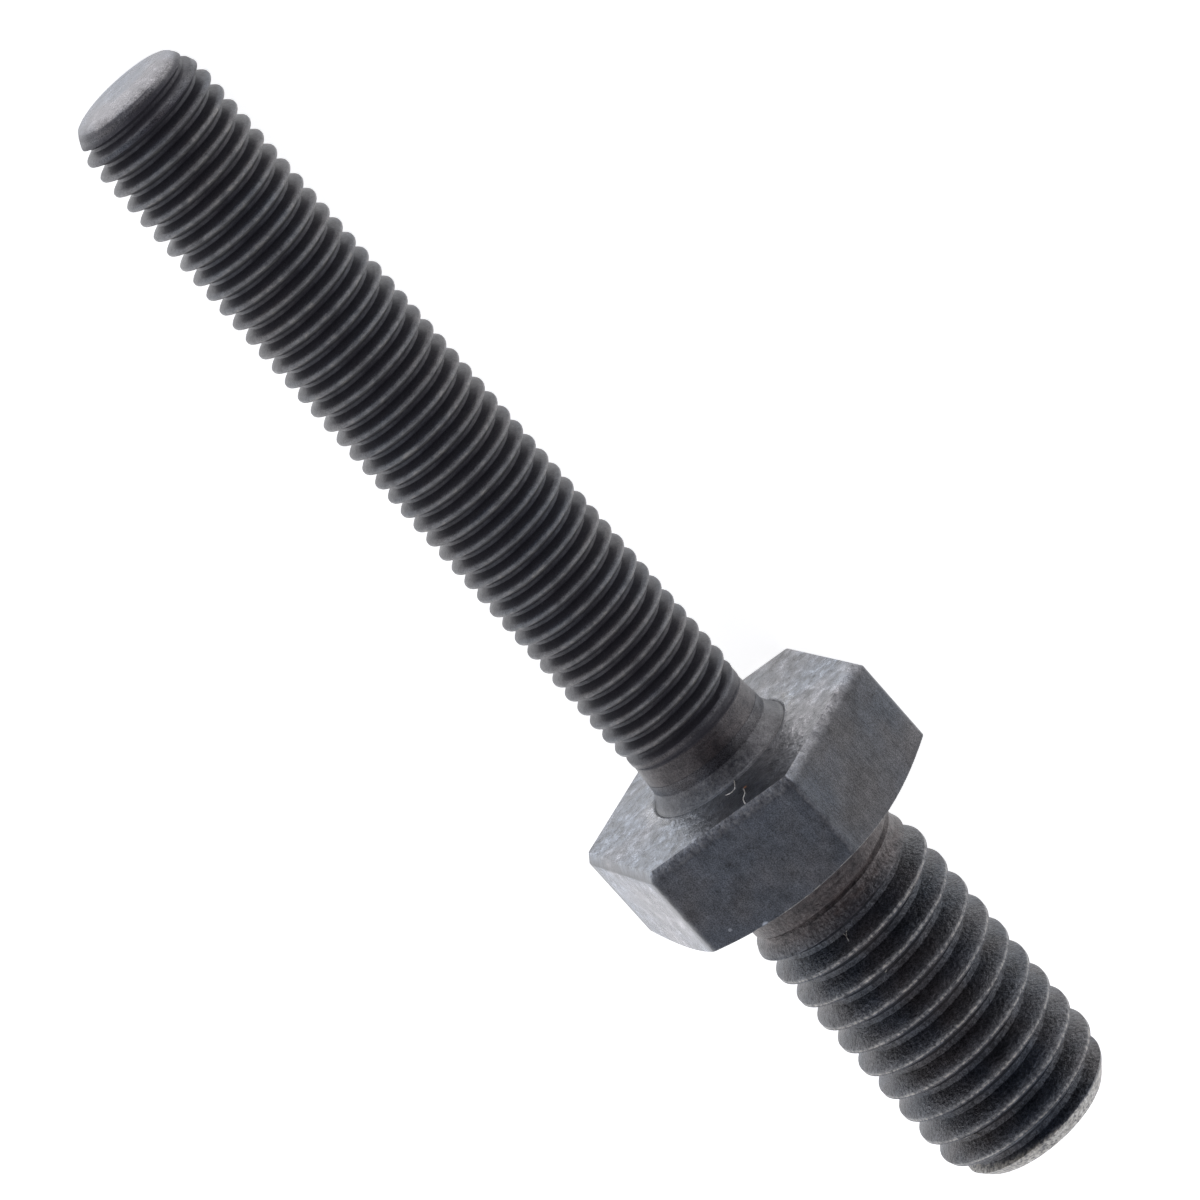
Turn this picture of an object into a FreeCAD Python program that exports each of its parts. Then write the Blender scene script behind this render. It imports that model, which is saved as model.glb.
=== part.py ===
import FreeCAD, Part
import math
import os
import Sketcher

# A rocker stud in one piece: a stem for a fine thread, a hexagon with a small collar, and a coarse threaded shank.
# Its own frame has Z along the stem and starts at the hexagon's underside. Every length is in millimetres.
SIZES = {
    # hexagon, with a bevel round its top face and turned corners underneath
    "hex_across_flats": 16.6,
    "hex_height": 6.25,
    "hex_bevel_drop": 0.51,
    "hex_bevel_angle": 33.7,
    "corner_turn_inner_radius": 8.2,
    "corner_turn_outer_radius": 10.2,
    "corner_turn_rise": 0.8,
    # collar and plain neck above the hexagon
    "collar_radius": 4.33,
    "collar_edge_height": 0.1,
    "collar_height": 0.98,
    "upper_neck_foot_radius": 3.87,
    "upper_neck_radius": 3.75,
    "upper_neck_height": 3.1,
    # stem, left plain at the fine thread's outer size
    "upper_thread_radius": 3.96,
    "upper_thread_start": 3.6,
    "upper_length": 49.4,
    "upper_end_radius": 2.65,
    "upper_end_round_radius": 3.15,
    "upper_end_round_height": 0.2,
    "upper_end_chamfer_height": 1.8,
    # shank, before its thread is cut
    "lower_thread_radius": 5.53,
    "lower_thread_start": 4.65,
    "lower_length": 22.05,
    "lower_neck_radius": 4.97,
    "lower_neck_height": 2.75,
    "lower_end_radius": 4.2,
    "lower_end_chamfer_height": 1.65,
    # coarse thread, 14 turns to the inch, cut from below the shank's end up to its neck
    "coarse_pitch": 1.8143,
    "coarse_depth": 1.113,
    "coarse_root_width": 0.3024,
    "coarse_mouth_width": 2.0495,
    "coarse_cutter_reach": 0.4,
    "coarse_first_valley": 23.374,
    "coarse_turns": 11,
    "coarse_run_out_turns": 0.9,
    "coarse_run_out_angle": 32,
}
# heights and radii that follow from the sizes above
DERIVED = {
    "collar_edge_level": "=hex_height + collar_edge_height",
    "collar_level": "=hex_height + collar_height",
    "upper_neck_level": "=hex_height + upper_neck_height",
    "upper_thread_level": "=hex_height + upper_thread_start",
    "upper_end_level": "=hex_height + upper_length",
    "upper_round_level": "=upper_end_level - upper_end_round_height",
    "upper_chamfer_level": "=upper_end_level - upper_end_chamfer_height",
    "lower_chamfer_depth": "=lower_length - lower_end_chamfer_height",
    "hex_side_height": "=hex_height - hex_bevel_drop",
    "coarse_root_radius": "=lower_thread_radius - coarse_depth",
    "coarse_cutter_radius": "=lower_thread_radius + coarse_cutter_reach",
    "coarse_root_top": "=coarse_first_valley - coarse_root_width / 2",
    "coarse_root_bottom": "=coarse_first_valley + coarse_root_width / 2",
    "coarse_mouth_top": "=coarse_first_valley - coarse_mouth_width / 2",
    "coarse_mouth_bottom": "=coarse_first_valley + coarse_mouth_width / 2",
    "run_out_valley": "=coarse_first_valley - coarse_turns * coarse_pitch",
    "run_out_root_top": "=run_out_valley - coarse_root_width / 2",
    "run_out_root_bottom": "=run_out_valley + coarse_root_width / 2",
    "run_out_mouth_top": "=run_out_valley - coarse_mouth_width / 2",
    "run_out_mouth_bottom": "=run_out_valley + coarse_mouth_width / 2",
}
HEX_SIDES = 6
ON_AXIS = ""

document = FreeCAD.newDocument("rocker_stud")
sheet = document.addObject("Spreadsheet::Sheet", "Sizes")
for row, (name, value) in enumerate(list(SIZES.items()) + list(DERIVED.items()), start=1):
    sheet.set("A{}".format(row), name)
    sheet.set("B{}".format(row), str(value))
    sheet.setAlias("B{}".format(row), name)
document.recompute()

body = document.addObject("PartDesign::Body", "rocker_stud")
body.Label = "rocker_stud"


def attach(sketch, role):
    """Lay a sketch on one of the body's own planes."""
    plane = next(feature for feature in body.Origin.OriginFeatures if feature.Role == role)
    sketch.AttachmentSupport = [(plane, "")]
    sketch.MapMode = "FlatFace"


def place(name):
    """A size by its name, and minus the size if the name has a minus in front."""
    if name == ON_AXIS:
        return 0.0
    if name.startswith("-"):
        return -float(sheet.get(name[1:]))
    return float(sheet.get(name))


def hold(sketch, line, across, along):
    """Tie the start of a line to the sizes that give its distances from the origin."""
    if across == ON_AXIS:
        sketch.addConstraint(Sketcher.Constraint("PointOnObject", line, 1, -2))
    else:
        index = sketch.addConstraint(Sketcher.Constraint("DistanceX", -1, 1, line, 1, place(across)))
        sketch.setExpression("Constraints[{}]".format(index), "Sizes." + across)
    if along == ON_AXIS:
        sketch.addConstraint(Sketcher.Constraint("PointOnObject", line, 1, -1))
    elif along.startswith("-"):
        index = sketch.addConstraint(Sketcher.Constraint("DistanceY", line, 1, -1, 1, -place(along)))
        sketch.setExpression("Constraints[{}]".format(index), "Sizes." + along[1:])
    else:
        index = sketch.addConstraint(Sketcher.Constraint("DistanceY", -1, 1, line, 1, place(along)))
        sketch.setExpression("Constraints[{}]".format(index), "Sizes." + along)


def outline(name, corners):
    """A closed outline in the half plane through the stem, one corner for each pair of size names."""
    sketch = body.newObject("Sketcher::SketchObject", name)
    attach(sketch, "XZ_Plane")
    points = [FreeCAD.Vector(place(across), place(along), 0) for across, along in corners]
    lines = [Part.LineSegment(first, second) for first, second in zip(points, points[1:] + points[:1])]
    sketch.addGeometry(lines, False)
    for line in range(len(lines)):
        sketch.addConstraint(Sketcher.Constraint("Coincident", line, 2, (line + 1) % len(lines), 1))
    for line, (across, along) in enumerate(corners):
        hold(sketch, line, across, along)
    return sketch


def hexagon(name):
    """A hexagon with one corner straight along Y, so that its flats face X and every sixty degrees from it."""
    sketch = body.newObject("Sketcher::SketchObject", name)
    attach(sketch, "XY_Plane")
    corner_radius = SIZES["hex_across_flats"] / math.sqrt(3)
    points = []
    for side in range(HEX_SIDES):
        angle = math.radians(360 / HEX_SIDES * side + 90)
        points.append(FreeCAD.Vector(corner_radius * math.cos(angle), corner_radius * math.sin(angle), 0))
    for first, second in zip(points, points[1:] + points[:1]):
        sketch.addGeometry(Part.LineSegment(first, second), False)
    circle = sketch.addGeometry(Part.Circle(FreeCAD.Vector(0, 0, 0), FreeCAD.Vector(0, 0, 1), corner_radius), True)
    for side in range(HEX_SIDES):
        sketch.addConstraint(Sketcher.Constraint("Coincident", side, 2, (side + 1) % HEX_SIDES, 1))
        sketch.addConstraint(Sketcher.Constraint("PointOnObject", side, 1, circle))
    for side in range(1, HEX_SIDES):
        sketch.addConstraint(Sketcher.Constraint("Equal", 0, side))
    sketch.addConstraint(Sketcher.Constraint("Coincident", circle, 3, -1, 1))
    sketch.addConstraint(Sketcher.Constraint("PointOnObject", 0, 1, -2))
    index = sketch.addConstraint(Sketcher.Constraint("Radius", circle, corner_radius))
    sketch.setExpression("Constraints[{}]".format(index), "Sizes.hex_across_flats / sqrt(3)")
    return sketch


# turned blank, from the middle of the lower end round to the middle of the upper end
blank_outline = outline("BlankOutline", [
    (ON_AXIS, "-lower_length"),
    ("lower_end_radius", "-lower_length"),
    ("lower_thread_radius", "-lower_chamfer_depth"),
    ("lower_thread_radius", "-lower_thread_start"),
    ("lower_neck_radius", "-lower_neck_height"),
    ("lower_neck_radius", ON_AXIS),
    ("collar_radius", ON_AXIS),
    ("collar_radius", "collar_edge_level"),
    ("upper_neck_foot_radius", "collar_level"),
    ("upper_neck_radius", "upper_neck_level"),
    ("upper_thread_radius", "upper_thread_level"),
    ("upper_thread_radius", "upper_chamfer_level"),
    ("upper_end_round_radius", "upper_round_level"),
    ("upper_end_radius", "upper_end_level"),
    (ON_AXIS, "upper_end_level"),
])
blank = body.newObject("PartDesign::Revolution", "Blank")
blank.Profile = blank_outline
blank.ReferenceAxis = (blank_outline, ["V_Axis"])
blank.Angle = 360
blank_outline.Visibility = False

# hexagon: straight sides, then the bevel as a short tapered length on top of them
side_outline = hexagon("HexagonOutline")
sides = body.newObject("PartDesign::Pad", "HexagonSides")
sides.Profile = side_outline
sides.setExpression("Length", "Sizes.hex_side_height")
bevel_outline = hexagon("BevelOutline")
bevel_outline.setExpression(".AttachmentOffset.Base.z", "Sizes.hex_side_height")
bevel = body.newObject("PartDesign::Pad", "HexagonBevel")
bevel.Profile = bevel_outline
bevel.setExpression("Length", "Sizes.hex_bevel_drop")
bevel.setExpression("TaperAngle", "-Sizes.hex_bevel_angle")

# corners turned off underneath the hexagon
turn_outline = outline("CornerTurnOutline", [
    ("corner_turn_inner_radius", ON_AXIS),
    ("corner_turn_outer_radius", ON_AXIS),
    ("corner_turn_outer_radius", "corner_turn_rise"),
])
turned = body.newObject("PartDesign::Groove", "TurnedCorners")
turned.Profile = turn_outline
turned.ReferenceAxis = (turn_outline, ["V_Axis"])
turned.Angle = 360


def helical_cut(name, profile, turns):
    """A right-handed groove that climbs from the profile towards the hexagon."""
    cut = body.newObject("PartDesign::SubtractiveHelix", name)
    cut.Profile = profile
    cut.ReferenceAxis = (profile, ["V_Axis"])
    cut.Mode = "pitch-turns-angle"
    cut.setExpression("Pitch", "Sizes.coarse_pitch")
    cut.setExpression("Turns", "Sizes." + turns)
    cut.LeftHanded = False
    cut.Reversed = False
    cut.HasBeenEdited = True
    return cut


# coarse thread, and the last part turn where its groove climbs out of the shank
groove_outline = outline("GrooveOutline", [
    ("coarse_root_radius", "-coarse_root_bottom"),
    ("coarse_cutter_radius", "-coarse_mouth_bottom"),
    ("coarse_cutter_radius", "-coarse_mouth_top"),
    ("coarse_root_radius", "-coarse_root_top"),
])
groove = helical_cut("CoarseThread", groove_outline, "coarse_turns")
run_out_outline = outline("RunOutOutline", [
    ("coarse_root_radius", "-run_out_root_bottom"),
    ("coarse_cutter_radius", "-run_out_mouth_bottom"),
    ("coarse_cutter_radius", "-run_out_mouth_top"),
    ("coarse_root_radius", "-run_out_root_top"),
])
run_out = helical_cut("ThreadRunOut", run_out_outline, "coarse_run_out_turns")
run_out.setExpression("Angle", "Sizes.coarse_run_out_angle")
body.Tip = run_out
document.recompute()

# the stud lies down, on the hexagon's bevel edge and the far end of the stem
drop = SIZES["hex_across_flats"] / 2 - SIZES["upper_thread_radius"]
reach = sheet.get("upper_chamfer_level") - sheet.get("hex_side_height")
lean = math.degrees(math.atan2(drop, reach))
body.Placement = FreeCAD.Placement(
    FreeCAD.Vector(0, 0, 0),
    FreeCAD.Rotation(FreeCAD.Vector(0, 1, 0), 90 + lean),
)
document.recompute()

for thing in document.Objects:
    if "Invalid" in thing.State or "Error" in thing.State:
        raise RuntimeError("{} did not rebuild".format(thing.Name))
if body.Shape.isNull() or not body.Shape.isValid() or len(body.Shape.Solids) != 1:
    raise RuntimeError("the stud is not one valid solid")

os.makedirs("parts", exist_ok=True)
body.Shape.exportStep("parts/rocker_stud.step")
print("volume", round(body.Shape.Volume, 2))
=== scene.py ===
import bmesh
import bpy
import math
from mathutils import Matrix, Vector


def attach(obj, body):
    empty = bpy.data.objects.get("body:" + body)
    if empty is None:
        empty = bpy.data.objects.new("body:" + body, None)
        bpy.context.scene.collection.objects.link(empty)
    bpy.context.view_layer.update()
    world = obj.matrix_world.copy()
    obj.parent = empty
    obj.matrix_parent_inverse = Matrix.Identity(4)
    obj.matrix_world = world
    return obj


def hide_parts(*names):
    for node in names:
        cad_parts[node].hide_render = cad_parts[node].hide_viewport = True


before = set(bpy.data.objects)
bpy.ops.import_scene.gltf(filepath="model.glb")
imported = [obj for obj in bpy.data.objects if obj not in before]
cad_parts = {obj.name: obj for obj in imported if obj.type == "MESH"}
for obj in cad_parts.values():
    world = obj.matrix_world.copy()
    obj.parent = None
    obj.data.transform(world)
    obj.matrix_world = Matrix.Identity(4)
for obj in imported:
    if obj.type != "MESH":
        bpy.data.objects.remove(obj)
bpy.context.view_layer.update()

# Sizes in millimetres, in the stud's own frame: Z runs up the stem from the hexagon's underside.
MM = 0.001
MM_A_METRE = 1000
HEX_SIDES = 6
HEX_APOTHEM = 8.3
HEX_HEIGHT = 6.25
BEVEL_DROP = 0.51
BEVEL_INSET = 0.34
SIDE_HEIGHT = HEX_HEIGHT - BEVEL_DROP
CORNER_TURN_RADIUS = 8.2
CORNER_TURN_SLOPE = 0.4
CORNER_BLUNT_RADIUS = 0.4
UPPER_RADIUS = 3.96
UPPER_LENGTH = 49.4
UPPER_CHAMFER = 1.8
LOWER_RADIUS = 5.53
LOWER_LENGTH = 22.05
LOWER_NECK_RADIUS = 4.97

# Rings of vertices have this many columns, and three on each side of a hexagon's corner lie on its arc.
COLUMNS = 108
COLUMNS_A_SIDE = COLUMNS // HEX_SIDES
CORNER_COLUMNS = 3
HALF_CORNER = math.radians(30)

# The stud lies on the hexagon's bevel edge and the far end of its stem.
LEAN = math.atan2(HEX_APOTHEM - UPPER_RADIUS, UPPER_LENGTH - UPPER_CHAMFER + BEVEL_DROP)
LAY = Matrix.Rotation(math.radians(90) + LEAN, 4, "Y")

# Threads: pitch, depth, height of a groove where it crosses the local X direction, half the flat at root
# and at crest as a share of the pitch, how rounded the corners are, how strongly painted shade dims the
# grooves, and where in a pitch the rows of vertices run.
FINE = {
    "pitch": 1.0583,
    "depth": 0.649,
    "groove": HEX_HEIGHT + 46.649,
    "root": 0.07,
    "crest": 0.06,
    "roundness": 0.7,
    "groove_shade": 1.0,
    "phases": (0.0, 0.08, 0.17, 0.26, 0.34, 0.40, 0.46, 0.52, 0.57, 0.63, 0.72, 0.81, 0.91),
}
COARSE = {
    "pitch": 1.8143,
    "depth": 1.08,
    "groove": HEX_HEIGHT - 11.481,
    "root": 0.09,
    "crest": 0.07,
    "roundness": 0.25,
    "groove_shade": 0.0,
    "phases": (
        0.0, 0.05, 0.09, 0.13, 0.19, 0.25, 0.31, 0.36, 0.39, 0.40, 0.43, 0.455,
        0.475, 0.49, 0.51, 0.54, 0.57, 0.60, 0.64, 0.69, 0.75, 0.81, 0.87, 0.91, 0.95,
    ),
}
# Vertices of a thread nearer than this to its ends are drawn onto them.
END_GAP = 0.01

# Height above the hexagon's top face and radius of the turned blank: collar and neck, stem, and tip.
COLLAR_BLANK = (
    (0.0, 4.45), (0.04, 4.39), (0.10, 4.34), (0.16, 4.29), (0.55, 4.07),
    (0.95, 3.885), (0.98, 3.87), (1.03, 3.865), (1.60, 3.83), (1.66, 3.81),
)
STEM_BLANK = COLLAR_BLANK + (
    (2.85, 3.74), (2.94, 3.74), (2.98, 3.78), (3.50, 3.79), (4.30, UPPER_RADIUS),
    (47.35, UPPER_RADIUS), (47.75, 3.90), (48.55, 3.56), (48.90, 3.38), (49.12, 3.22),
)
STEM_TIP = ((49.22, 3.06), (49.30, 2.84), (49.35, 2.55), (49.385, 2.15), (49.40, 1.6), (49.41, 0.8))
STEM_ROWS_START = 2.80
STEM_THREAD_START = 2.98
STEM_RUN_OUT = (2.9, 4.0)
# The tip's face sits a little off the axis: how far, over what height, and towards which angle.
TIP_SHIFT = 0.16
TIP_SHIFT_RISE = 0.28
TIP_SHIFT_SIDE = math.radians(287.6)

# Depth below the hexagon's underside and radius of the turned blank: neck and shank, and its end.
SHANK_BLANK = (
    (0.0, LOWER_NECK_RADIUS), (2.75, LOWER_NECK_RADIUS), (3.35, 5.20), (3.85, 5.44), (4.65, LOWER_RADIUS),
    (19.8, LOWER_RADIUS), (20.7, 5.20), (21.05, 5.06), (21.35, 4.84), (21.72, 4.56), (21.85, 4.45),
)
SHANK_TIP = ((21.97, 4.33), (LOWER_LENGTH, 4.15), (LOWER_LENGTH, 2.1))
SHANK_ROWS_START = 1.2
SHANK_RUN_OUT = (1.4, 3.9)
# Where the tool left the neck it scored a shallow line along the thread.
SCORE_DEPTH = 0.12
SCORE_WIDTH = (0.02, 0.08)
SCORE_START = (1.25, 1.6)
SCORE_END = (2.9, 3.4)

# Wear and painted highlights, nought where the steel is untouched. Along crests: strength, and the phases
# where they come and go.
# The fine crests' grey wear reaches down their flank as a painted highlight.
STEM_CREST_WEAR_AND_HIGHLIGHT = (0.52, (0.04, 0.28), (0.55, 0.64))
STEM_WEAR_START = (3.2, 4.2)
STEM_WEAR_END = (46.3, 47.8)
SHANK_CREST_LINE = (0.8, (0.455, 0.48), (0.51, 0.545))
SHANK_CREST_WEAR = (0.46, (0.475, 0.49), (0.57, 0.65))
# A pale band on the coarse thread's lower flank is a painted reflection.
SHANK_LOW_EDGE_REFLECTION = 0.14
SHANK_LOW_EDGE_PHASE = 0.31
SHANK_LOW_EDGE_WIDTH = (0.025, 0.07)
SHANK_WEAR_START = (3.2, 4.4)
BARE_END = (20.95, 21.1)
BARE_END_WEAR = 1.1
COLLAR_WEAR = 0.34
COLLAR_WEAR_HEIGHTS = (0.05, 0.96)
# A painted highlight streaks across the tip's face: its strength, and the radii over which it comes in.
TIP_HIGHLIGHT = 0.55
TIP_HIGHLIGHT_RADII = (2.95, 1.9)
# The pale lines along the hexagon's lower rim and its bevel are wear, and a painted highlight of the
# rounded edges.
FOOT_WEAR_AND_HIGHLIGHT = 0.8
BEVEL_WEAR_AND_HIGHLIGHT = 0.34
CORNER_WEAR = 0.34
CORNER_WEAR_REACH = (1, 3)
# Depth and wear of the rings round the lower neck, from the thread up.
NECK_RINGS = ((1.06, 0.0), (1.02, 0.3), (0.98, 0.0), (0.50, 0.0), (0.46, 0.25), (0.42, 0.0))
# Share of the side's height, and wear with painted highlight, of the rows up the hexagon's sides.
SIDE_ROWS = ((0.015, 0.0), (0.12, 0.0), (0.5, 0.0), (0.88, 0.0), (0.965, 0.0), (1.0, BEVEL_WEAR_AND_HIGHLIGHT))
LEAST_SIDE_RISE = 0.08
SIDE_ROW_GAP = 0.01
# Inset, share of the corner's blunting, and wear with painted highlight, of the rows where the bevel meets
# the top face.
BEVEL_ROWS = ((BEVEL_INSET, 0.6, 0.5), (BEVEL_INSET + 0.1, 0.6, 0.1), (BEVEL_INSET + 0.3, 0.5, 0.0))
# Radius, rise and painted highlight of the rings on the top face, which swells towards the collar.
FACE_RINGS = ((6.6, 0.0, 0.0), (5.6, 0.02, 0.25), (4.95, 0.05, 1.0), (4.6, 0.06, 0.9))
# Painted highlights lie on both sides of the collar and in a streak across the tip, along this angle, and
# the top face's painted light is strongest along it. The higher the power, the narrower the highlight.
PAINTED_LIGHT_SIDE = math.radians(107.6)
FACE_GLOW_POWER = 4
TIP_HIGHLIGHT_POWER = 6

# Where the hexagon, its top face, a smooth flat with a painted reflection, a flat with painted shade, the
# collar, the tip and the necks are, by height, radius and degrees, and how strong the painted light of the
# top face and collar and the look of the upper neck are.
HAIR = 0.01
FACE_SWELL = 0.3
HEXAGON_INNER_RADIUS = 4.3
FACE_INNER_RADIUS = 4.5
FACE_LEAST = 0.4
TIP_POLISH = (48.8, 49.38)
SMOOTH_FLAT = (92, 148)
SHADED_FLAT = (212, 268)
COLLAR_BAND = (0.12, 0.97)
COLLAR_INNER_RADIUS = 3.87
COLLAR_FACE = 0.05
UPPER_NECK_START = 1.63
UPPER_NECK_FADE = (3.0, 3.6)
UPPER_NECK_SHARE = 0.6
LOWER_NECK_START = 0.001
LOWER_NECK_FADE = (2.9, 3.9)
LOWER_NECK_REACH = 6

# Painted shade lies in a groove, so it fades at one pair of phases and comes back at the other.
GROOVE_SHADE_FADE = (0.40, 0.50)
GROOVE_SHADE_RISE = (0.60, 0.72)

# Bits of lint: on the top face by place and lift, on the shank by angle in degrees and height. A fibre is
# squared up against the direction in LINT_LEAN.
FACE_LINT_RADIUS = 0.035
SHANK_LINT_RADIUS = 0.022
LINT_PALE = 1.7
LINT_LEAN = Vector((0.3, 0.2, 1.0))
FACE_LINT = (
    (
        (-4.15, -1.13, 0.06), (-4.60, -1.22, 0.12), (-4.94, -1.24, 0.10), (-5.22, -1.21, 0.05),
        (-5.37, -1.15, 0.05), (-5.46, -1.02, 0.06), (-5.48, -0.91, 0.06), (-5.41, -0.61, 0.10),
    ),
    (
        (-6.08, -1.81, 0.08), (-6.40, -1.90, 0.10), (-6.70, -1.92, 0.05), (-7.06, -1.83, 0.05),
        (-7.36, -1.82, 0.08), (-7.70, -1.88, 0.05), (-8.00, -1.96, 0.05),
    ),
)
SHANK_LINT = (
    ((183.9, -4.40), (183.0, -4.47), (182.2, -4.60)),
    ((181.0, -4.42), (181.8, -4.60), (182.2, -4.78)),
    ((188.4, -7.30), (187.2, -7.47), (186.0, -7.50)),
    ((150.0, -18.6), (151.5, -18.8), (153.0, -18.85), (154.0, -19.05)),
    ((152.0, -18.3), (153.5, -18.4), (154.2, -18.6)),
)

WELD_GAP = 0.001
SHARP_ANGLE = math.radians(38)


def between(value, low, high):
    """How far a value is from low to high, held within nought and one."""
    return min(1.0, max(0.0, (value - low) / (high - low)))


def band(value, rise, fall):
    """One between a rise and a fall, each given as a low and a high end, and nought outside them."""
    return between(value, *rise) * (1 - between(value, *fall))


def smooth(share):
    return share * share * (3 - 2 * share)


def read_off(points, at):
    """The value at a place on a line through points."""
    if at <= points[0][0]:
        return points[0][1]
    for (near, low), (far, high) in zip(points, points[1:]):
        if at <= far:
            return low + (high - low) * (at - near) / (far - near)
    return points[-1][1]


def groove_share(thread, phase):
    """Nought at a thread's crest and one at its root, with flat sides and rounded corners."""
    off = min(phase, 1 - phase)
    share = 1 - between(off, thread["root"], 0.5 - thread["crest"])
    return (1 - thread["roundness"]) * share + thread["roundness"] * smooth(share)


def phase_at(thread, height, column):
    """How far through its pitch a thread is at a height and column, from nought at the root's middle."""
    return ((height - thread["groove"]) / thread["pitch"] - column / COLUMNS) % 1.0


def from_corner(column):
    """How many columns lie between this one and the hexagon's nearest corner."""
    past = (column - COLUMNS_A_SIDE // 2) % COLUMNS_A_SIDE
    return min(past, COLUMNS_A_SIDE - past)


def painted_light_share(angle):
    """One on the line along which the painted highlights lie, and nought square to it."""
    return abs(math.cos(angle - PAINTED_LIGHT_SIDE))


class Shell:
    """A mesh built up as rings of vertices round the stud's axis."""

    def __init__(self):
        self.mesh = bmesh.new()
        self.wear_and_highlight = self.mesh.verts.layers.float.new("wear_and_highlight")
        self.groove_shade = self.mesh.verts.layers.float.new("groove_shade")

    def point(self, radius, turn, height, wear_and_highlight=0.0, groove_shade=0.0):
        """A vertex at a column's angle, counted in columns, with its wear and painted highlight and its
        painted groove shade.
        """
        angle = 2 * math.pi * turn / COLUMNS
        made = self.mesh.verts.new((radius * math.cos(angle), radius * math.sin(angle), height))
        made[self.wear_and_highlight] = wear_and_highlight
        made[self.groove_shade] = groove_shade
        return made

    def ring(self, radius, height, wear_and_highlight=0.0):
        return [self.point(radius, column, height, wear_and_highlight) for column in range(COLUMNS)]

    def wall_ring(self, height, radius, wear_and_highlight):
        """A ring whose radius, and wear and painted highlight, are worked out for each column."""
        made = []
        for column in range(COLUMNS):
            made.append(self.point(radius(height, column), column, height, wear_and_highlight(height, column)))
        return made

    def row(self, places, heights, wear_and_highlight, corner_wear=0.0):
        """Vertices at given places round the axis, more worn at the hexagon's corners if asked."""
        made = []
        for column, ((x, y), height) in enumerate(zip(places, heights)):
            vertex = self.mesh.verts.new((x, y, height))
            near_corner = 1 - between(from_corner(column), *CORNER_WEAR_REACH)
            vertex[self.wear_and_highlight] = max(wear_and_highlight, corner_wear * near_corner)
            made.append(vertex)
        return made

    def face(self, corners):
        kept = []
        for corner in corners:
            if corner not in kept:
                kept.append(corner)
        if len(kept) > 2:
            self.mesh.faces.new(kept)

    def join(self, low, high):
        """A band of faces from one ring up to the next."""
        for column in range(len(low)):
            following = (column + 1) % len(low)
            self.face((low[column], low[following], high[following], high[column]))

    def cap(self, ring, height, upwards, wear_and_highlight=0.0):
        """Faces from a ring to a vertex on the axis."""
        middle = self.mesh.verts.new((0, 0, height))
        middle[self.wear_and_highlight] = wear_and_highlight
        for column in range(COLUMNS):
            following = (column + 1) % COLUMNS
            pair = (ring[column], ring[following])
            self.face((middle,) + (pair if upwards else pair[::-1]))

    def lint(self, points, radius):
        """A thin pale fibre along points."""
        rings = []
        for index, point in enumerate(points):
            along = Vector(points[min(index + 1, len(points) - 1)]) - Vector(points[max(index - 1, 0)])
            across = along.cross(LINT_LEAN).normalized()
            over = along.cross(across).normalized()
            made = []
            for side in (across, over, -across, -over):
                vertex = self.mesh.verts.new(Vector(point) + side * radius)
                vertex[self.wear_and_highlight] = LINT_PALE
                made.append(vertex)
            rings.append(made)
        for near, far in zip(rings, rings[1:]):
            self.join(near, far)
        self.face(rings[0][::-1])
        self.face(rings[-1])

    def helix_row(self, thread, turn, step, ends, radius, wear_and_highlight):
        """One row of vertices that climbs with the thread, drawn onto the end rings past them."""
        (low, low_ring), (high, high_ring) = ends
        phase = thread["phases"][step]
        groove_shade = thread["groove_shade"] * (1 - between(phase, *GROOVE_SHADE_FADE) + between(phase, *GROOVE_SHADE_RISE))
        made = []
        for column in range(COLUMNS):
            height = thread["groove"] + thread["pitch"] * (turn + phase + column / COLUMNS)
            if height <= low + END_GAP:
                made.append(low_ring[column])
            elif height >= high - END_GAP:
                made.append(high_ring[column])
            else:
                made.append(self.point(radius(height, column), column, height, wear_and_highlight(height, column), groove_shade))
        return made

    def helix(self, thread, low, high, radius, wear_and_highlight):
        """A threaded wall between two heights, whose rows climb with the thread; gives both end rings."""
        rows_a_turn = len(thread["phases"])
        first = math.floor((low - thread["groove"]) / thread["pitch"]) - 1
        last = math.ceil((high - thread["groove"]) / thread["pitch"]) + 1
        low_ring = self.wall_ring(low, radius, wear_and_highlight)
        high_ring = self.wall_ring(high, radius, wear_and_highlight)
        ends = ((low, low_ring), (high, high_ring))
        rows = []
        for turn in range(first, last):
            for step in range(rows_a_turn):
                rows.append(self.helix_row(thread, turn, step, ends, radius, wear_and_highlight))
        for row in range(len(rows) - 1):
            below, above = rows[row], rows[row + 1]
            for column in range(COLUMNS - 1):
                self.face((below[column], below[column + 1], above[column + 1], above[column]))
            # the last column meets the first one a whole turn on
            if row + 1 + rows_a_turn < len(rows):
                next_below, next_above = rows[row + rows_a_turn], rows[row + 1 + rows_a_turn]
                self.face((below[-1], next_below[0], next_above[0], above[-1]))
        return low_ring, high_ring


def stem_radius(height, column):
    """The stem's surface: its blank, cut by the fine thread down to the run-out above the neck."""
    above = height - HEX_HEIGHT
    blank = read_off(STEM_BLANK, above)
    if above < STEM_THREAD_START:
        return blank
    depth = FINE["depth"] * smooth(between(above, *STEM_RUN_OUT))
    return min(blank, UPPER_RADIUS - depth * groove_share(FINE, phase_at(FINE, height, column)))


def shank_radius(height, column):
    """The shank's surface: its blank, cut by the coarse thread up to the run-out below the neck."""
    below = -height
    phase = phase_at(COARSE, height, column)
    depth = COARSE["depth"] * between(below, *SHANK_RUN_OUT)
    cut = LOWER_RADIUS - depth * groove_share(COARSE, phase)
    score = SCORE_DEPTH * (1 - between(min(phase, 1 - phase), *SCORE_WIDTH))
    score *= band(below, SCORE_START, SCORE_END)
    return min(read_off(SHANK_BLANK, below) - score, cut)


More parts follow.
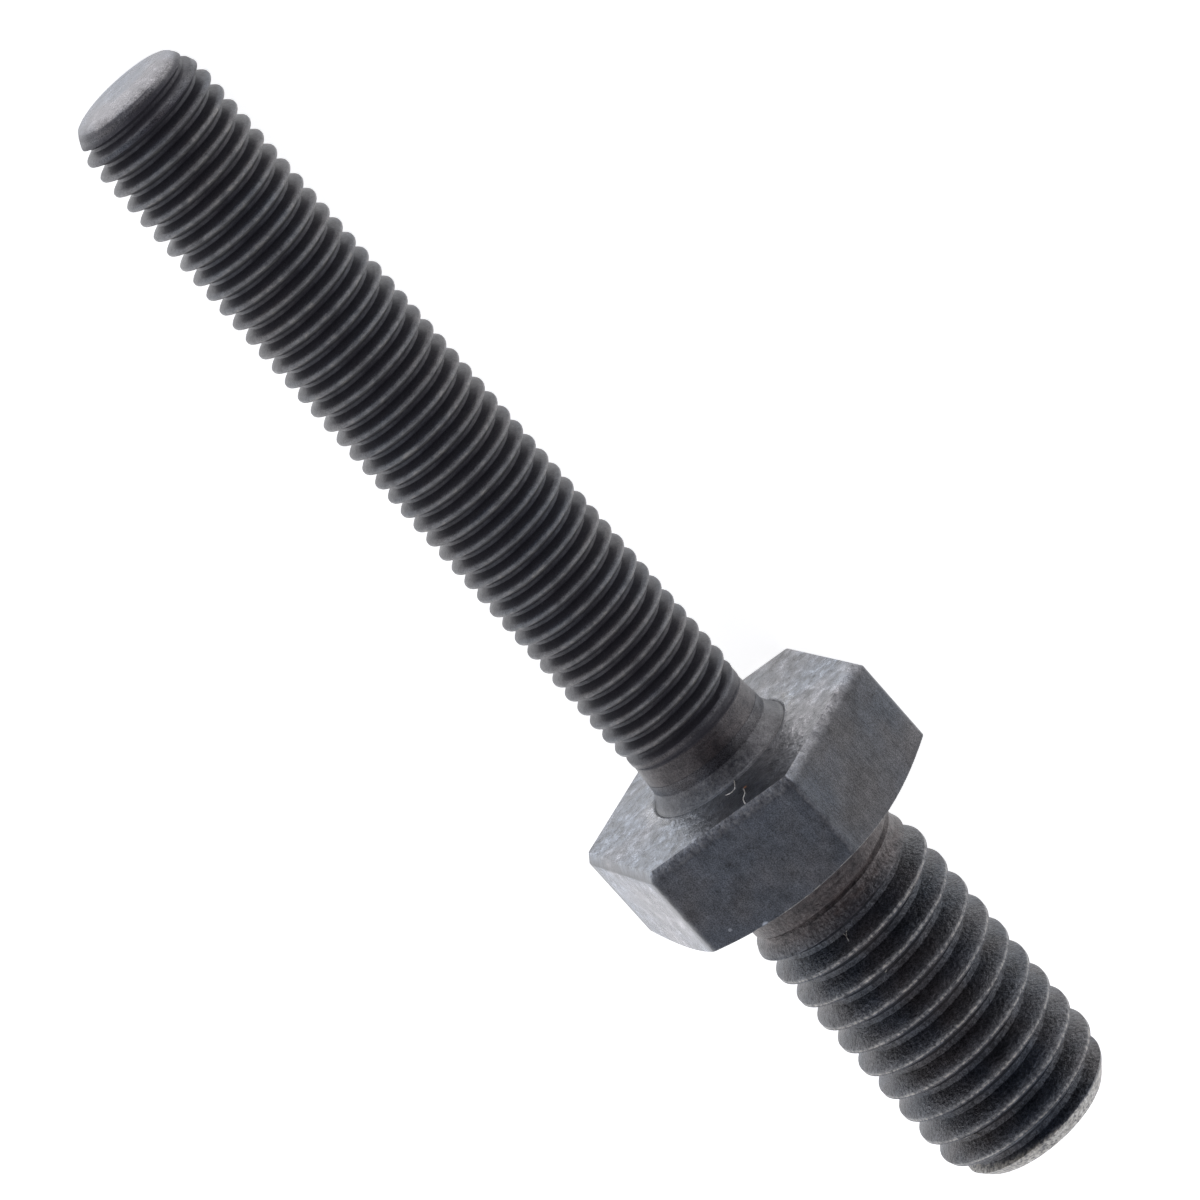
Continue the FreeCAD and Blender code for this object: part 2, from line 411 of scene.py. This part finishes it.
def stem_wear_and_highlight(height, column):
    """Grey wear along the fine thread's crests, which reaches down their flank as a painted highlight."""
    strength, rise, fall = STEM_CREST_WEAR_AND_HIGHLIGHT
    phase = phase_at(FINE, height, column)
    return strength * band(phase, rise, fall) * band(height - HEX_HEIGHT, STEM_WEAR_START, STEM_WEAR_END)


def shank_wear_and_highlight(height, column):
    """Bright wear along the upper edge of the coarse thread's crests, a painted reflection on their lower
    flank, and the bare turned end.
    """
    if -height > BARE_END[0]:
        return BARE_END_WEAR * between(-height, *BARE_END)
    phase = phase_at(COARSE, height, column)
    # a painted reflection on the lower flank
    off_low_edge = between(abs(phase - SHANK_LOW_EDGE_PHASE), *SHANK_LOW_EDGE_WIDTH)
    marks = [SHANK_LOW_EDGE_REFLECTION * (1 - off_low_edge)]
    for strength, rise, fall in (SHANK_CREST_LINE, SHANK_CREST_WEAR):
        marks.append(strength * band(phase, rise, fall))
    return max(marks) * between(-height, *SHANK_WEAR_START)


def hexagon_outline(apothem, blunt):
    """Points round a hexagon with blunt corners."""
    centre = (apothem - blunt) / math.cos(HALF_CORNER)
    middle = Vector((apothem * math.cos(HALF_CORNER), apothem * math.sin(HALF_CORNER)))
    points = []
    for column in range(COLUMNS):
        # corners lie at thirty degrees and every sixty on, so at half a side's columns
        offset = (column - COLUMNS_A_SIDE // 2) % COLUMNS_A_SIDE
        if offset > COLUMNS_A_SIDE // 2:
            offset -= COLUMNS_A_SIDE
        turned = max(-1.0, min(1.0, offset / CORNER_COLUMNS)) * HALF_CORNER
        place = Vector((centre + blunt * math.cos(turned), blunt * math.sin(turned)))
        if abs(offset) > CORNER_COLUMNS:
            share = (abs(offset) - CORNER_COLUMNS) / (COLUMNS_A_SIDE / 2 - CORNER_COLUMNS)
            place = place.lerp(Vector((middle.x, math.copysign(middle.y, offset))), share)
        corner_angle = 2 * math.pi * (column - offset) / COLUMNS
        points.append(tuple(Matrix.Rotation(corner_angle, 2) @ place))
    return points


def build_shank(shell):
    """Shank and lower neck, from the shank's end up; gives the ring under the hexagon."""
    ends = shell.helix(COARSE, -SHANK_BLANK[-1][0], -SHANK_ROWS_START, shank_radius, shank_wear_and_highlight)
    above, lower = ends
    for depth, radius in SHANK_TIP:
        row = shell.ring(radius, -depth, BARE_END_WEAR)
        shell.join(row, above)
        above = row
    shell.cap(above, -LOWER_LENGTH, False)
    for depth, wear_and_highlight in NECK_RINGS + ((0, 0.0),):
        row = shell.ring(LOWER_NECK_RADIUS, -depth, wear_and_highlight)
        shell.join(lower, row)
        lower = row
    return lower


def build_hexagon(shell, lower):
    """Hexagon and top face, up from the ring under it; gives the innermost ring of the top face."""
    rows = [shell.ring(CORNER_TURN_RADIUS, 0)]
    outline = hexagon_outline(HEX_APOTHEM, CORNER_BLUNT_RADIUS)
    feet = [CORNER_TURN_SLOPE * max(0.0, math.hypot(x, y) - CORNER_TURN_RADIUS) for x, y in outline]
    rows.append(shell.row(outline, feet, FOOT_WEAR_AND_HIGHLIGHT))
    for share, wear_and_highlight in SIDE_ROWS:
        least = LEAST_SIDE_RISE + SIDE_ROW_GAP * share
        heights = [max(share * SIDE_HEIGHT, foot + least) for foot in feet]
        rows.append(shell.row(outline, heights, wear_and_highlight, CORNER_WEAR))
    for inset, blunt, wear_and_highlight in BEVEL_ROWS:
        places = hexagon_outline(HEX_APOTHEM - inset, CORNER_BLUNT_RADIUS * blunt)
        rows.append(shell.row(places, [HEX_HEIGHT] * COLUMNS, wear_and_highlight))
    for radius, rise, wear_and_highlight in FACE_RINGS:
        ring = shell.ring(radius, HEX_HEIGHT + rise)
        # the rings beside the collar get a painted highlight on both sides of it
        for column, vertex in enumerate(ring):
            vertex[shell.wear_and_highlight] = wear_and_highlight * painted_light_share(2 * math.pi * column / COLUMNS) ** FACE_GLOW_POWER
        rows.append(ring)
    for row in rows:
        shell.join(lower, row)
        lower = row
    return lower


def build_stem(shell, lower):
    """Collar, upper neck, stem and tip, up from the top face."""
    for height, radius in COLLAR_BLANK:
        worn = COLLAR_WEAR_HEIGHTS[0] < height < COLLAR_WEAR_HEIGHTS[1]
        row = shell.ring(radius, HEX_HEIGHT + height, COLLAR_WEAR if worn else 0.0)
        shell.join(lower, row)
        lower = row
    tip_start = STEM_BLANK[-1][0]
    ends = shell.helix(FINE, HEX_HEIGHT + STEM_ROWS_START, HEX_HEIGHT + tip_start, stem_radius, stem_wear_and_highlight)
    shell.join(lower, ends[0])
    lower = ends[1]
    for height, radius in STEM_TIP:
        row = shell.ring(radius, HEX_HEIGHT + height)
        shift = TIP_SHIFT * (height - tip_start) / TIP_SHIFT_RISE
        for column, vertex in enumerate(row):
            # a painted highlight streaks across the tip
            streak = painted_light_share(2 * math.pi * column / COLUMNS) ** TIP_HIGHLIGHT_POWER
            vertex[shell.wear_and_highlight] = TIP_HIGHLIGHT * between(radius, *TIP_HIGHLIGHT_RADII) * streak
            vertex.co.x += shift * math.cos(TIP_SHIFT_SIDE)
            vertex.co.y += shift * math.sin(TIP_SHIFT_SIDE)
        shell.join(lower, row)
        lower = row
    shell.cap(lower, HEX_HEIGHT + UPPER_LENGTH, True, TIP_HIGHLIGHT)


def add_lint(shell):
    for places in FACE_LINT:
        shell.lint([(x, y, HEX_HEIGHT + lift) for x, y, lift in places], FACE_LINT_RADIUS)
    for places in SHANK_LINT:
        points = []
        for degrees, height in places:
            reach = shank_radius(height, degrees / 360 * COLUMNS) + SHANK_LINT_RADIUS
            angle = math.radians(degrees)
            points.append((reach * math.cos(angle), reach * math.sin(angle), height))
        shell.lint(points, SHANK_LINT_RADIUS)


def mark_places(mesh):
    """Note on every vertex how far it is on the hexagon, its top face or a neck, how smooth it is, and how
    much painted light, painted reflection and painted shade it carries.
    """
    names = ("hexagon", "top_face_painted_light", "neck", "polish_and_painted_reflection", "flat_shade")
    hexagon, top_face_painted_light, neck, polish_and_painted_reflection, flat_shade = [mesh.verts.layers.float.new(name) for name in names]
    for vertex in mesh.verts:
        radius = math.hypot(vertex.co.x, vertex.co.y)
        height = vertex.co.z
        above = height - HEX_HEIGHT
        angle = math.atan2(vertex.co.y, vertex.co.x)
        degrees = math.degrees(angle) % 360
        if -HAIR < height and above < FACE_SWELL and radius > HEXAGON_INNER_RADIUS:
            vertex[hexagon] = 1.0
            # this flat is smoother, and carries a painted reflection
            if height < SIDE_HEIGHT - HAIR and SMOOTH_FLAT[0] < degrees < SMOOTH_FLAT[1]:
                vertex[polish_and_painted_reflection] = 1.0
        if -HAIR < above < FACE_SWELL and radius > FACE_INNER_RADIUS:
            # painted shade before and behind the collar, and painted light on both sides of it
            vertex[top_face_painted_light] = FACE_LEAST + (1 - FACE_LEAST) * painted_light_share(angle)
            vertex[polish_and_painted_reflection] = vertex[top_face_painted_light]
        # painted shade dims the reflection of one flat
        elif vertex[hexagon] and SHADED_FLAT[0] < degrees < SHADED_FLAT[1]:
            vertex[flat_shade] = 1.0
        if COLLAR_BAND[0] < above < COLLAR_BAND[1] and radius > COLLAR_INNER_RADIUS:
            vertex[top_face_painted_light] = COLLAR_FACE
        if above > TIP_POLISH[0]:
            vertex[polish_and_painted_reflection] = between(above, *TIP_POLISH)
        if UPPER_NECK_START < above < UPPER_NECK_FADE[1]:
            vertex[neck] = UPPER_NECK_SHARE * (1 - between(above, *UPPER_NECK_FADE))
        if LOWER_NECK_START < -height < LOWER_NECK_FADE[1] and radius < LOWER_NECK_REACH:
            vertex[neck] = 1 - between(-height, *LOWER_NECK_FADE)


def build_stud():
    shell = Shell()
    build_stem(shell, build_hexagon(shell, build_shank(shell)))
    add_lint(shell)
    mark_places(shell.mesh)
    bmesh.ops.remove_doubles(shell.mesh, verts=shell.mesh.verts, dist=WELD_GAP)
    bmesh.ops.recalc_face_normals(shell.mesh, faces=shell.mesh.faces)
    bmesh.ops.transform(shell.mesh, matrix=Matrix.Scale(MM, 4) @ LAY, verts=shell.mesh.verts)
    data = bpy.data.meshes.new("stud")
    shell.mesh.to_mesh(data)
    shell.mesh.free()
    for polygon in data.polygons:
        polygon.use_smooth = True
    data.set_sharp_from_angle(angle=SHARP_ANGLE)
    made = bpy.data.objects.new("stud", data)
    bpy.context.scene.collection.objects.link(made)
    return made


stud = build_stud()
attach(stud, "root")
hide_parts("rocker_stud")
print("stud faces", len(stud.data.polygons))


class Painter:
    """Adds nodes to the tree of one material or world, and wires them up."""

    def __init__(self, tree):
        self.tree = tree

    def wire(self, source, target):
        self.tree.links.new(source, target)

    def node(self, kind, **settings):
        """A node with some of its settings made."""
        made = self.tree.nodes.new(kind)
        for name, value in settings.items():
            setattr(made, name, value)
        return made

    def feed(self, sockets, values):
        """Give each socket its number, colour or wire."""
        for socket, value in zip(sockets, values):
            if isinstance(value, (int, float)):
                socket.default_value = value
            elif isinstance(value, tuple):
                socket.default_value = value + (1,)
            else:
                self.wire(value, socket)

    def calculate(self, operation, first, second):
        made = self.node("ShaderNodeMath", operation=operation)
        self.feed(made.inputs, (first, second))
        return made.outputs[0]

    def times(self, product, *others):
        """The product of wires and numbers."""
        for value in others:
            product = self.calculate("MULTIPLY", product, value)
        return product

    def plus(self, total, *others):
        """The sum of wires and numbers."""
        for value in others:
            total = self.calculate("ADD", total, value)
        return total

    def most(self, first, second):
        return self.calculate("MAXIMUM", first, second)

    def spread(self, value, low, high, to_low=0.0, to_high=1.0):
        """Bring a value from one range to another, held within it."""
        made = self.node("ShaderNodeMapRange")
        names = ("Value", "From Min", "From Max", "To Min", "To Max")
        self.feed([made.inputs[name] for name in names], (value, low, high, to_low, to_high))
        return made.outputs[0]

    def blend(self, share, first, second, kind="MIX"):
        made = self.node("ShaderNodeMixRGB", blend_type=kind)
        self.feed(made.inputs, (share, first, second))
        return made.outputs[0]

    def ramp(self, source, stops):
        """A colour ramp through given places and colours."""
        made = self.node("ShaderNodeValToRGB")
        elements = made.color_ramp.elements
        while len(elements) < len(stops):
            elements.new(0.5)
        for element, (place, colour) in zip(elements, stops):
            element.position = place
            element.color = colour + (1,)
        self.wire(source, made.inputs["Fac"])
        return made.outputs["Color"]

    def attribute(self, name):
        return self.node("ShaderNodeAttribute", attribute_name=name).outputs["Fac"]

    def vector(self, operation, place, other):
        """One step of vector arithmetic on a wire and a fixed vector."""
        made = self.node("ShaderNodeVectorMath", operation=operation)
        self.wire(place, made.inputs[0])
        made.inputs[1].default_value = other
        return made

    def stretched(self, place, scale):
        """The place on the stud in millimetres, times a scale of its own along, across and round."""
        return self.vector("MULTIPLY", place, [MM_A_METRE * share for share in scale]).outputs[0]

    def noise(self, place, detail, rough):
        made = self.node("ShaderNodeTexNoise")
        names = ("Vector", "Scale", "Detail", "Roughness")
        self.feed([made.inputs[name] for name in names], (place, 1.0, detail, rough))
        return made.outputs["Fac"]


# Patterns on the steel: how many to the millimetre each way, how detailed and how rough.
PATTERNS = {
    "grain": ((5.0, 5.0, 5.0), 4.0, 0.6),
    "fine_grain": ((14.0, 14.0, 14.0), 2.0, 0.5),
    "patches": ((0.45, 0.45, 0.45), 4.0, 0.6),
    "tint": ((0.2, 0.2, 0.2), 3.0, 0.55),
    "blots": ((1.5, 1.5, 1.5), 5.0, 0.65),
    "strokes": ((0.8, 3.4, 3.4), 3.0, 0.6),
}
# Tool marks run round the necks, so they are counted along the stud only.
TOOL_MARKS = (3.2, 2.0, 0.6)
# Specks of dust to the millimetre each way.
DUST_A_MM = (0.6, 0.6, 0.6)
# What is noted on the vertices.
MASKS = ("wear_and_highlight", "groove_shade", "hexagon", "top_face_painted_light", "neck", "polish_and_painted_reflection", "flat_shade")

# Colours, and colours along a pattern.
BLACK = ((0.38, (0.0065, 0.0085, 0.0135)), (0.62, (0.0125, 0.0105, 0.0110)))
BROWN = ((0.35, (0.024, 0.020, 0.021)), (0.65, (0.056, 0.041, 0.037)))
# painted light on the top face
PAINTED_FACE_LIGHT = ((0.42, (0.005, 0.005, 0.008)), (0.68, (0.050, 0.049, 0.053)))
# painted reflection, added on the smooth flat, the top face and the tip
PAINTED_REFLECTION = ((0.38, (0.030, 0.031, 0.035)), (0.62, (0.095, 0.097, 0.105)))
# worn steel, and painted highlights, along the wear mask
WORN_AND_HIGHLIT_STEEL = (
    (0.0, (0.05, 0.05, 0.055)), (0.25, (0.125, 0.122, 0.12)),
    (0.5, (0.46, 0.42, 0.35)), (1.0, (0.9, 0.87, 0.8)),
)
# colour in the fine grooves' painted shade
GROOVE_SHADE_COLOUR = (0.040, 0.038, 0.045)
DUST = (0.30, 0.31, 0.32)
CAST = ((0.38, (0.84, 0.90, 1.0)), (0.62, (0.98, 0.95, 0.97)))
NECK_CAST = (1.0, 0.92, 0.90)
COAT_TINT = (0.97, 0.98, 1.0, 1)
SHEEN_TINT = (0.93, 0.96, 1.0, 1)

# Shares, and ranges: the low and high of a pattern, mask or place, then what they become, which is nought
# and one where it isn't given.
PATCHY_SHADE = (0.35, 0.7, 0.6, 2.0)
GRAINY_SHADE = (0.35, 0.65, 0.3, 2.4)
TURNED_SHADE = (0.35, 0.65, 0.6, 1.5)
PAINTED_REFLECTION_SHARE = (0.5, 1.0)
DUST_SPECK = (0.02, 0.05, 0.5, 0.0)
DUST_ON_HEXAGON = 0.7
DUST_ELSEWHERE = 0.3
SPOT_EDGE = (0.6, 1.1)
SHANK_GRAIN_FADE = (-3.0, -1.0, 1.0, 0.35)
SHANK_TOP_FADE = (-0.5, 0.0, 1.0, 0.0)
STEM_RISE = (HEX_HEIGHT + 2, HEX_HEIGHT + 3)
SHANK_WEAR_BREAKS = (0.32, 0.68, 0.3, 1.5)
STEM_WEAR_BREAKS = (0.32, 0.68, 0.75, 1.2)
LONG_WEAR_BREAKS = (0.35, 0.65, 0.7, 1.2)
WEAR_SCALE = 0.5
WORN_THROUGH = (0.0, 0.22)
PATCHY_ROUGHNESS = (0.3, 0.7, 0.28, 0.42)
GRAINY_ROUGHNESS = (0.3, 0.7, 0.0, 0.08)
SMOOTH_ROUGHNESS = (0.0, 1.0, 1.0, 0.72)
REFRACTION = (0.0, 1.0, 1.8, 3.6)
# how much painted shade dims reflections in the grooves and on one flat
SHADE_DULLING = (0.0, 1.0, 1.0, 0.45)
FLAT_SHADE_SHARE = 0.42
BLOTTED_SHINE = (0.3, 0.7, 0.32, 0.72)
GRAINY_SHINE = (0.3, 0.7, 0.5, 1.5)
BLOTCHES = (0.32, 0.68, -0.65, 0.65)
HEXAGON_SHINE = (0.0, 1.0, 1.0, 0.82)
SANDY_SHINE = (0.35, 0.65, -0.6, 0.6)
NECK_SHINE = (0.0, 1.0, 1.0, 0.85)
PATCHY_FILM = (0.35, 0.65, 0.3, 0.75)
HEXAGON_FILM = (0.0, 1.0, 0.25, 1.0)
SHEEN = 0.24
SHEEN_ROUGHNESS = 0.3
COAT_ROUGHNESS = 0.28
COAT_REFRACTION = 1.5

# Relief: heights in millimetres, and the shares of grain and blots that smooth places keep.
GRAIN_RELIEF = (0.0, 1.0, 0.012, 0.08)
FINE_GRAIN_RELIEF = 0.006
SMOOTH_RELIEF = (0.0, 1.0, 1.0, 0.5)
STROKE_RELIEF = 0.03
BLOT_RELIEF = 0.16
BLOTS_ON_SMOOTH_FLAT = 0.6
TOOL_MARK_RELIEF = 0.05

# Small marks: place on the stud, reach and colour.
SPOTS = (
    ((-8.30, -2.60, 4.06), 0.16, (0.001, 0.001, 0.001)),
    ((-5.83, -1.88, 6.26), 0.12, (0.35, 0.12, 0.03)),
    ((-2.26, -3.24, 53.71), 0.20, (0.5, 0.52, 0.56)),
    ((-8.30, 1.60, 0.10), 0.22, (0.5, 0.53, 0.58)),
    ((-8.30, 3.30, 1.05), 0.12, (0.22, 0.23, 0.25)),
)


class Steel(Painter):
    """Oiled black oxide on steel: near black and mottled, rubbed grey and tan where edges have worn, with
    painted highlights, reflections and shade.
    """

    def __init__(self, material):
        super().__init__(material.node_tree)
        self.shader = self.tree.nodes["Principled BSDF"]
        self.place = self.node("ShaderNodeTexCoord").outputs["Object"]
        self.mask = {name: self.attribute(name) for name in MASKS}
        self.pattern = {}
        for name, (scale, detail, rough) in PATTERNS.items():
            self.pattern[name] = self.noise(self.stretched(self.place, scale), detail, rough)
        axis = [MM_A_METRE * share for share in (math.cos(LEAN), 0, -math.sin(LEAN))]
        self.along = self.vector("DOT_PRODUCT", self.place, axis).outputs["Value"]
        rings = self.node("ShaderNodeCombineXYZ")
        marks_a_mm, detail, rough = TOOL_MARKS
        self.wire(self.times(self.along, marks_a_mm), rings.inputs[0])
        self.turning = self.noise(rings.outputs[0], detail, rough)
        # sandy below the hexagon, and less so on the neck
        below = self.spread(self.along, *SHANK_GRAIN_FADE)
        self.on_shank = self.times(below, self.spread(self.along, *SHANK_TOP_FADE))
        self.smooth_or_face = self.most(self.mask["polish_and_painted_reflection"], self.mask["top_face_painted_light"])

    def shaded(self, colour, pattern, shade):
        """A colour made darker and lighter by a pattern."""
        return self.blend(1.0, colour, self.spread(pattern, *shade), "MULTIPLY")

    def black_oxide(self):
        """Colour of the steel where it isn't worn, with painted shade in the fine grooves, painted light on
        the top face and a painted reflection added on the smooth places.
        """
        blots = self.pattern["blots"]
        colour = self.ramp(self.pattern["tint"], BLACK)
        colour = self.shaded(colour, self.pattern["patches"], PATCHY_SHADE)
        colour = self.shaded(colour, self.pattern["fine_grain"], GRAINY_SHADE)
        brown = self.shaded(self.ramp(blots, BROWN), self.turning, TURNED_SHADE)
        colour = self.blend(self.mask["neck"], colour, brown)
        # painted shade in the fine grooves
        colour = self.blend(self.mask["groove_shade"], colour, GROOVE_SHADE_COLOUR)
        # painted light on the top face, less before and behind the collar
        colour = self.blend(self.mask["top_face_painted_light"], colour, self.ramp(blots, PAINTED_FACE_LIGHT))
        # a painted reflection is added on the smooth places
        painted_reflection_share = self.spread(self.mask["polish_and_painted_reflection"], *PAINTED_REFLECTION_SHARE)
        return self.blend(painted_reflection_share, colour, self.ramp(blots, PAINTED_REFLECTION), "ADD")

    def with_dust(self, colour):
        """Tiny pale specks all over, most on the hexagon."""
        dots = self.node("ShaderNodeTexVoronoi")
        self.wire(self.stretched(self.place, DUST_A_MM), dots.inputs["Vector"])
        dots.inputs["Scale"].default_value = 1.0
        speck = self.spread(dots.outputs["Distance"], *DUST_SPECK)
        strength = self.plus(self.times(self.mask["hexagon"], DUST_ON_HEXAGON), DUST_ELSEWHERE)
        return self.blend(self.times(speck, strength), colour, DUST)

    def with_spots(self, colour):
        for spot, reach, shade in SPOTS:
            apart = self.vector("DISTANCE", self.place, LAY @ Vector(spot) * MM).outputs["Value"]
            inner, outer = [share * reach * MM for share in SPOT_EDGE]
            colour = self.blend(self.spread(apart, inner, outer, 1.0, 0.0), colour, shade)
        return colour

    def with_wear_and_highlights(self, colour):
        """Worn edges and painted highlights, broken up along their length."""
        grain = self.pattern["grain"]
        on_stem = self.spread(self.along, *STEM_RISE)
        short_breaks = [self.spread(grain, *wanted) for wanted in (SHANK_WEAR_BREAKS, STEM_WEAR_BREAKS)]
        long_breaks = self.spread(self.pattern["blots"], *LONG_WEAR_BREAKS)
        uneven = self.times(self.blend(on_stem, *short_breaks), long_breaks)
        wear_and_highlight_level = self.times(self.mask["wear_and_highlight"], uneven, WEAR_SCALE)
        return self.blend(self.spread(wear_and_highlight_level, *WORN_THROUGH), colour, self.ramp(wear_and_highlight_level, WORN_AND_HIGHLIT_STEEL))

    def shine(self):
        """Roughness, refraction, reflection, film of oil and sheen."""
        inputs = self.shader.inputs
        pattern, mask = self.pattern, self.mask
        roughness = self.spread(pattern["patches"], *PATCHY_ROUGHNESS)
        roughness = self.plus(roughness, self.spread(pattern["grain"], *GRAINY_ROUGHNESS))
        roughness = self.times(roughness, self.spread(mask["polish_and_painted_reflection"], *SMOOTH_ROUGHNESS))
        self.wire(roughness, inputs["Roughness"])
        self.wire(self.spread(mask["polish_and_painted_reflection"], *REFRACTION), inputs["IOR"])

        # painted shade in the fine grooves dims what they reflect, and painted shade dims one flat too
        shade_share = self.most(mask["groove_shade"], self.times(mask["flat_shade"], FLAT_SHADE_SHARE))
        unshaded = self.spread(shade_share, *SHADE_DULLING)
        blotches = self.spread(pattern["blots"], *BLOTCHES)
        blotches = self.times(blotches, self.smooth_or_face, mask["hexagon"])
        sand = self.times(self.spread(pattern["grain"], *SANDY_SHINE), self.on_shank)
        level = self.times(
            self.spread(pattern["blots"], *BLOTTED_SHINE),
            self.spread(pattern["fine_grain"], *GRAINY_SHINE),
            self.plus(blotches, 1.0),
            self.spread(mask["hexagon"], *HEXAGON_SHINE),
            self.plus(sand, 1.0),
            self.spread(mask["neck"], *NECK_SHINE),
            unshaded,
        )
        self.wire(level, inputs["Specular IOR Level"])
        film = self.spread(pattern["patches"], *PATCHY_FILM)
        film = self.times(film, self.spread(mask["hexagon"], *HEXAGON_FILM), unshaded)
        self.wire(film, inputs["Coat Weight"])
        self.wire(self.times(self.smooth_or_face, SHEEN), inputs["Sheen Weight"])
        cast = self.blend(mask["neck"], self.ramp(pattern["tint"], CAST), NECK_CAST)
        self.wire(cast, inputs["Specular Tint"])
        inputs["Coat Roughness"].default_value = COAT_ROUGHNESS
        inputs["Coat IOR"].default_value = COAT_REFRACTION
        inputs["Coat Tint"].default_value = COAT_TINT
        inputs["Sheen Roughness"].default_value = SHEEN_ROUGHNESS
        inputs["Sheen Tint"].default_value = SHEEN_TINT

    def relief(self):
        """Grain all over, strokes on the flats, blots on the smooth places and tool marks on the necks."""
        pattern, mask = self.pattern, self.mask
        grain = self.times(pattern["grain"], self.spread(self.on_shank, *GRAIN_RELIEF))
        grain = self.plus(grain, self.times(pattern["fine_grain"], FINE_GRAIN_RELIEF))
        dimpled = self.most(mask["top_face_painted_light"], self.times(mask["polish_and_painted_reflection"], BLOTS_ON_SMOOTH_FLAT))
        height = self.plus(
            self.times(grain, self.spread(mask["polish_and_painted_reflection"], *SMOOTH_RELIEF)),
            self.times(pattern["strokes"], STROKE_RELIEF, mask["hexagon"]),
            self.times(pattern["blots"], BLOT_RELIEF, dimpled, mask["hexagon"]),
            self.times(self.turning, TOOL_MARK_RELIEF, mask["neck"]),
        )
        bump = self.node("ShaderNodeBump")
        bump.inputs["Strength"].default_value = 1.0
        bump.inputs["Distance"].default_value = MM
        self.wire(height, bump.inputs["Height"])
        for name in ("Normal", "Coat Normal"):
            self.wire(bump.outputs[0], self.shader.inputs[name])

    def paint(self):
        colour = self.with_wear_and_highlights(self.with_spots(self.with_dust(self.black_oxide())))
        self.wire(colour, self.shader.inputs["Base Color"])
        self.shine()
        self.relief()


def new_material(name):
    material = bpy.data.materials.new(name)
    material.use_nodes = True
    return material


blackened_steel = new_material("blackened steel")
Steel(blackened_steel).paint()
stud.data.materials.append(blackened_steel)

# Floor under the stud's lowest edges.
FLOOR_SIZE = 3.0
FLOOR_HEIGHT = -(HEX_APOTHEM * math.cos(LEAN) + SIDE_HEIGHT * math.sin(LEAN)) * MM
FLOOR_COLOUR = (0.9, 0.9, 0.9, 1)
FLOOR_ROUGHNESS = 0.9
FLOOR_WHITE = 0.81


def show_white(painter, shader, strength):
    """Add white, for the camera and in reflections, over the plain shader that takes light and shadow."""
    path = painter.node("ShaderNodeLightPath").outputs
    seen = painter.most(path["Is Camera Ray"], path["Is Glossy Ray"])
    seen = painter.most(seen, path["Is Transmission Ray"])
    glow = painter.node("ShaderNodeEmission")
    painter.wire(painter.times(seen, strength), glow.inputs["Strength"])
    both = painter.node("ShaderNodeAddShader")
    painter.feed(both.inputs, (shader.outputs[0], glow.outputs[0]))
    return both.outputs[0]


bpy.ops.mesh.primitive_plane_add(size=FLOOR_SIZE, location=(0, 0, FLOOR_HEIGHT))
floor = bpy.context.object
floor.name = "floor"
floor_material = new_material("white floor")
floor_nodes = floor_material.node_tree.nodes
floor_shader = floor_nodes["Principled BSDF"]
floor_shader.inputs["Base Color"].default_value = FLOOR_COLOUR
floor_shader.inputs["Roughness"].default_value = FLOOR_ROUGHNESS
floor_shader.inputs["Specular IOR Level"].default_value = 0.0
floor_painter = Painter(floor_material.node_tree)
whitened = show_white(floor_painter, floor_shader, FLOOR_WHITE)
floor_painter.wire(whitened, floor_nodes["Material Output"].inputs["Surface"])
floor.data.materials.append(floor_material)

# Camera at the photograph's place, in metres and degrees.
CAMERA_PLACE = (0.15639815, -0.10434029, 0.31354557)
CAMERA_TURN = (-28.75438721, -1.46006427, -129.32888525)
CAMERA_LENS = 201.42
CAMERA_SENSOR = 36
CAMERA_NEAR = 0.01
camera_data = bpy.data.cameras.new("camera")
camera_data.sensor_width = CAMERA_SENSOR
camera_data.lens = CAMERA_LENS
camera_data.clip_start = CAMERA_NEAR
camera = bpy.data.objects.new("camera", camera_data)
camera.location = CAMERA_PLACE
camera.rotation_euler = [math.radians(angle) for angle in CAMERA_TURN]
bpy.context.scene.collection.objects.link(camera)
bpy.context.scene.camera = camera

# Light: a white room that is dim towards the photograph's camera, from the far side to the dim one.
DIM_SIDE = (0.386, -0.288, 0.876)
ROOM = (
    (0.34, (1.0, 1.02, 1.07)), (0.5, (0.68, 0.70, 0.74)), (0.79, (0.86, 0.87, 0.93)),
    (0.85, (0.72, 0.73, 0.79)), (0.91, (0.09, 0.09, 0.11)),
)
world = bpy.data.worlds.new("world")
bpy.context.scene.world = world
world.use_nodes = True
background = world.node_tree.nodes["Background"]
room_painter = Painter(world.node_tree)
direction = room_painter.node("ShaderNodeTexCoord").outputs["Generated"]
towards = room_painter.vector("DOT_PRODUCT", direction, DIM_SIDE).outputs["Value"]
room = room_painter.ramp(room_painter.spread(towards, -1, 1), ROOM)
room_painter.wire(room, background.inputs["Color"])
background.inputs["Strength"].default_value = 1.0
bpy.context.scene.view_settings.view_transform = "Standard"
